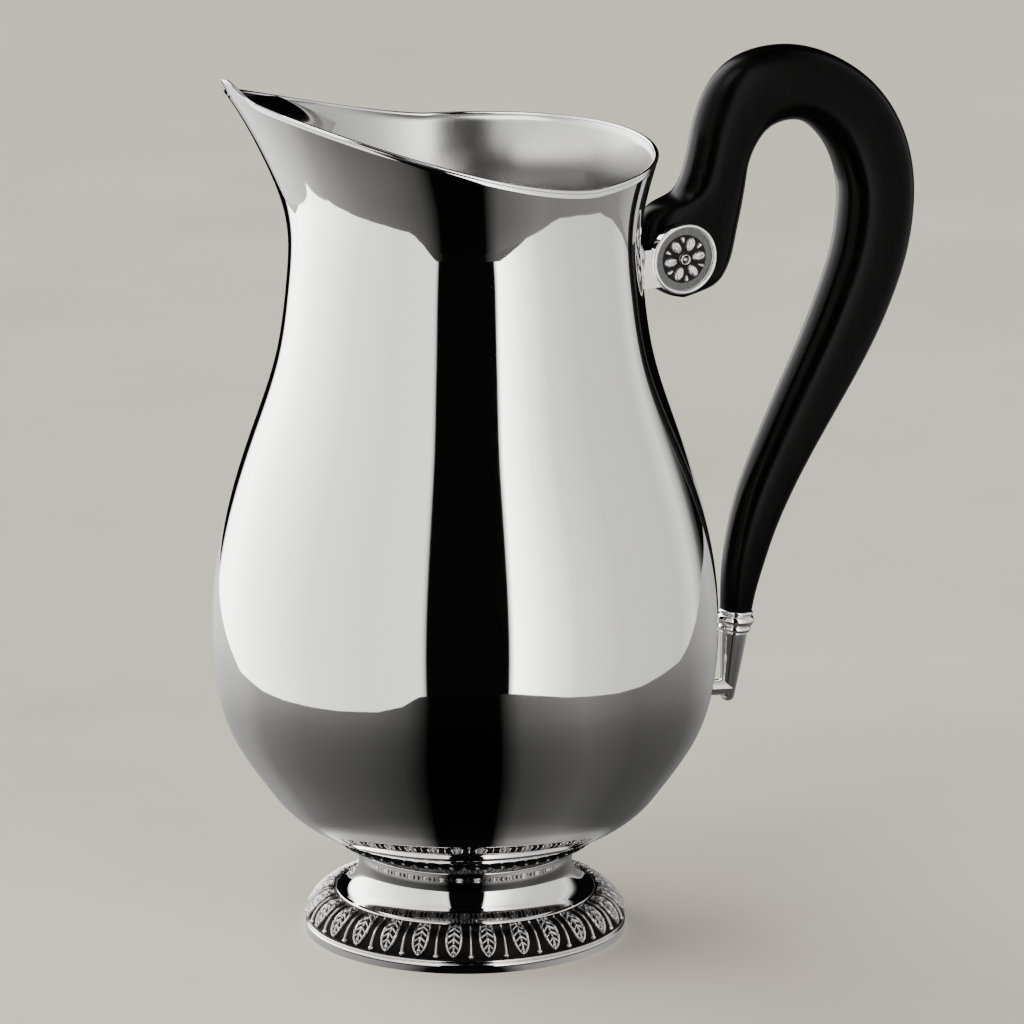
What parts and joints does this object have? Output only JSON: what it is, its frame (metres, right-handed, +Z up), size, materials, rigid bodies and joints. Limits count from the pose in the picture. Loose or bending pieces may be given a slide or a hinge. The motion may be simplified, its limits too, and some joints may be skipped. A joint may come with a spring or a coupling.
{
  "type": "water pitcher",
  "caption": "Footed pear-shaped silver water pitcher with a pinched spout, an ice guard, a dark scroll handle between two rosette roundels and a leaf border on the foot.",
  "frame": {"origin": "centre of the foot's underside, on the body's axis", "axes": "+Z up, +X from the body's axis to the handle, the spout along -X, the plane Y = 0 is the mirror plane"},
  "size_m": [0.2093, 0.1374, 0.2447],
  "materials": {
    "polished_silver": "mirror polished silver",
    "oxidised_silver": "polished silver relief with darkened recesses",
    "black_handle": "smooth, softly glossy black"
  },
  "bodies": {
    "root": {"body_shell": "polished_silver", "rim_wire": "polished_silver", "ice_guard": "polished_silver", "foot_stem": "polished_silver", "foot_bead": "polished_silver", "foot_base_band": "polished_silver", "cross_pin": "polished_silver", "cheek_near": "polished_silver", "cheek_far": "polished_silver", "bezel_near": "polished_silver", "bezel_far": "polished_silver", "ferrule_upper_ring": "polished_silver", "ferrule_middle_ring": "polished_silver", "ferrule_lower_ring": "polished_silver", "lower_socket": "polished_silver", "lower_pad": "polished_silver", "lower_strut": "polished_silver", "foot_collar": "oxidised_silver", "foot_leaf_flange": "oxidised_silver", "neck_plate": "oxidised_silver", "rosette_near": "oxidised_silver", "rosette_far": "oxidised_silver", "handle": "black_handle"}
  },
  "joints": []
}
